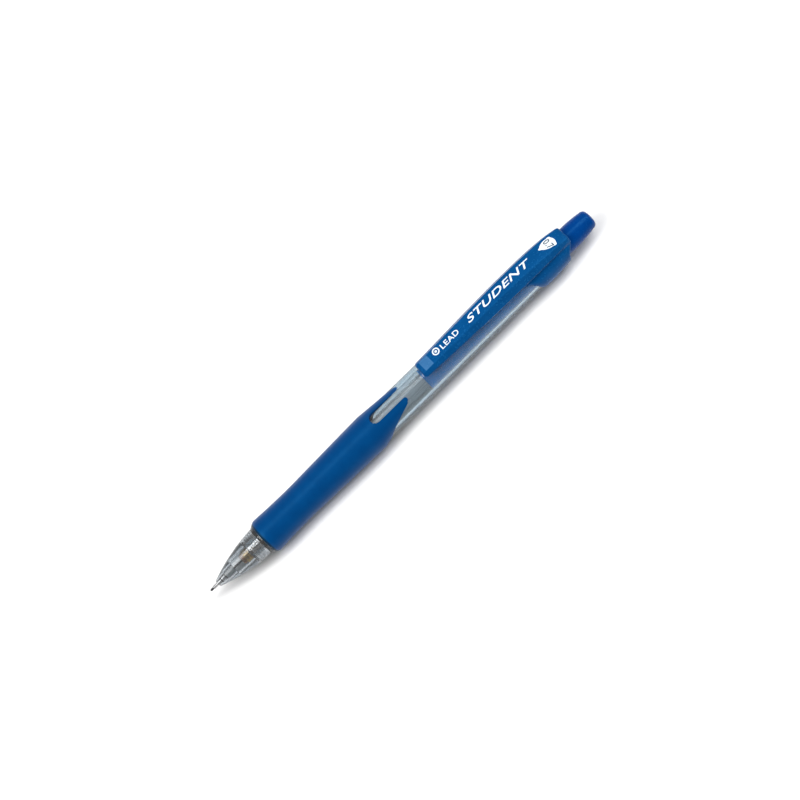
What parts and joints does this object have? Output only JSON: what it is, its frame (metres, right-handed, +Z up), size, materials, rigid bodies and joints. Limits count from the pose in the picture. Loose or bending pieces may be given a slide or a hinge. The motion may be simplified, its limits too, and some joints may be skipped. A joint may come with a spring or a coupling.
{
  "type": "mechanical pencil",
  "caption": "Click-advance mechanical pencil for 0.7 mm lead, with a clear screwed cone, soft forked grip, clear barrel, pocket clip, push button and working chuck.",
  "frame": {"origin": "on the pencil's middle plane, halfway along its length, at the level of the grip's lowest point", "axes": "+X along the pencil from its lead point to its button, +Y across it, +Z up through the clip"},
  "size_m": [0.146, 0.0114, 0.0134],
  "materials": {
    "graphite": "dark grey polymer lead with a faint sheen",
    "steel": "drawn and polished steel tube",
    "retainer_rubber": "matt grey rubber",
    "cone_clear": "polished smoke-clear plastic",
    "ring_brass": "turned brass",
    "chuck_brass": "turned brass, darker copper tone",
    "connector_plastic": "natural moulded acetal",
    "spring_steel": "drawn spring wire",
    "tube_plastic": "milky translucent extruded tube",
    "eraser_rubber": "matt white vinyl",
    "barrel_clear": "polished smoke-clear plastic",
    "grip_rubber": "satin blue soft rubber",
    "sleeve_blue": "blue plastic tube seen through the barrel",
    "clip_blue": "tinted blue translucent plastic, glossy",
    "button_blue": "glossy blue plastic"
  },
  "bodies": {
    "barrel_body": {"barrel": "barrel_clear", "grip": "grip_rubber", "inner_sleeve": "sleeve_blue", "clip_collar": "clip_blue", "spring": "spring_steel"},
    "clip": {"clip_arm": "clip_blue"},
    "plunger": {"lead_tube": "tube_plastic", "chuck_connector": "connector_plastic", "chuck_body": "chuck_brass", "eraser": "eraser_rubber"},
    "button": {"button_cap": "button_blue"},
    "jaw_1": {"chuck_jaw_1": "chuck_brass"},
    "jaw_2": {"chuck_jaw_2": "chuck_brass"},
    "jaw_3": {"chuck_jaw_3": "chuck_brass"},
    "clutch": {"clutch_ring": "ring_brass"},
    "feed": {"lead": "graphite"},
    "magazine": {"spare_leads": "graphite"},
    "nose_core": {"lead_sleeve": "steel", "lead_retainer": "retainer_rubber"},
    "nose_shell": {"nose_cone": "cone_clear"}
  },
  "joints": [
    {"name": "button_press", "type": "slide", "parent": "barrel_body", "child": "plunger", "axis": [-1, 0, 0], "range_m": [0, 0.0028], "stiffness_N_per_m": 800, "springref_m": -0.004, "deforming": ["spring"]},
    {"name": "cap_pull", "type": "slide", "parent": "plunger", "child": "button", "axis": [1, 0, 0], "range_m": [0, 0.014]},
    {"name": "jaw_1_open", "type": "hinge", "parent": "plunger", "child": "jaw_1", "pos_m": [-0.05, 0, 0.00641], "axis": [0, 1, 0], "range_deg": [0, 1.2]},
    {"name": "jaw_2_open", "type": "hinge", "parent": "plunger", "child": "jaw_2", "pos_m": [-0.05, -0.00065, 0.00528], "axis": [0, -0.5, 0.866], "range_deg": [0, 1.2]},
    {"name": "jaw_3_open", "type": "hinge", "parent": "plunger", "child": "jaw_3", "pos_m": [-0.05, 0.00065, 0.00528], "axis": [0, -0.5, -0.866], "range_deg": [0, 1.2]},
    {"name": "clutch_slide", "type": "slide", "parent": "barrel_body", "child": "clutch", "axis": [-1, 0, 0], "range_m": [0, 0.0006]},
    {"name": "lead_feed", "type": "slide", "parent": "barrel_body", "child": "feed", "axis": [-1, 0, 0], "range_m": [0, 0.0006]},
    {"name": "spare_leads_slide", "type": "slide", "parent": "plunger", "child": "magazine", "axis": [1, 0, 0], "range_m": [0, 0.008]},
    {"name": "clip_flex", "type": "hinge", "parent": "barrel_body", "child": "clip", "pos_m": [0.0305, 0, 0.01326], "axis": [0, 1, 0], "range_deg": [0, 4], "stiffness_Nm_per_rad": 3.5},
    {"name": "nose_advance", "type": "slide", "parent": "barrel_body", "child": "nose_core", "axis": [-1, 0, 0], "range_m": [0, 0.00385]},
    {"name": "nose_turn", "type": "hinge", "parent": "nose_core", "child": "nose_shell", "pos_m": [-0.056, 0, 0.00566], "axis": [-1, 0, 0], "range_deg": [0, 1810]}
  ],
  "couplings": [
    {"joint": "jaw_1_open", "follows": "button_press", "rad_per_m": 6.92},
    {"joint": "jaw_2_open", "follows": "button_press", "rad_per_m": 6.92},
    {"joint": "jaw_3_open", "follows": "button_press", "rad_per_m": 6.92},
    {"joint": "clutch_slide", "follows": "button_press", "ratio": 0.2},
    {"joint": "lead_feed", "follows": "button_press", "ratio": 0.2},
    {"joint": "nose_turn", "follows": "nose_advance", "rad_per_m": 8160}
  ]
}
